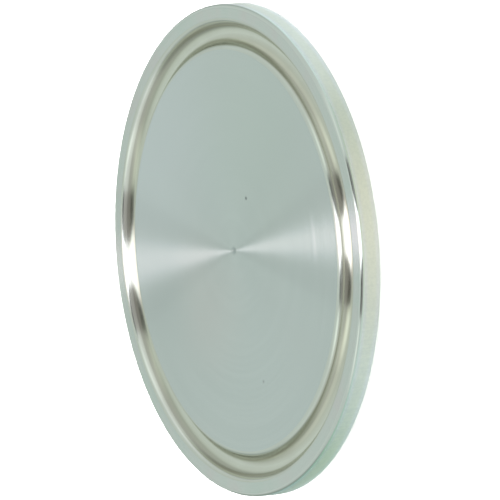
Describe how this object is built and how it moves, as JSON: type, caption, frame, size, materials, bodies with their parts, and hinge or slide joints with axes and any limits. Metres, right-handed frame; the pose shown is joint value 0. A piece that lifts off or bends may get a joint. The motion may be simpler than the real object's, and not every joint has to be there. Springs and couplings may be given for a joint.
{
  "type": "sanitary clamp end cap",
  "caption": "Round blind cap for a hygienic clamp union: flat turned disc with a gasket groove on one face and a clamp taper round the back.",
  "frame": {"origin": "centre of the flat hub on the back, which is the face the cap lies on", "axes": "+Z along the turning axis, out through the gasket face; X and Y lie across the disc, with no preferred turn"},
  "size_m": [0.064, 0.064, 0.0063],
  "materials": {
    "stainless": "fine concentric turning marks on the face, buffed groove and edges, satin rim"
  },
  "bodies": {
    "root": {"end_cap": "stainless"}
  },
  "joints": []
}
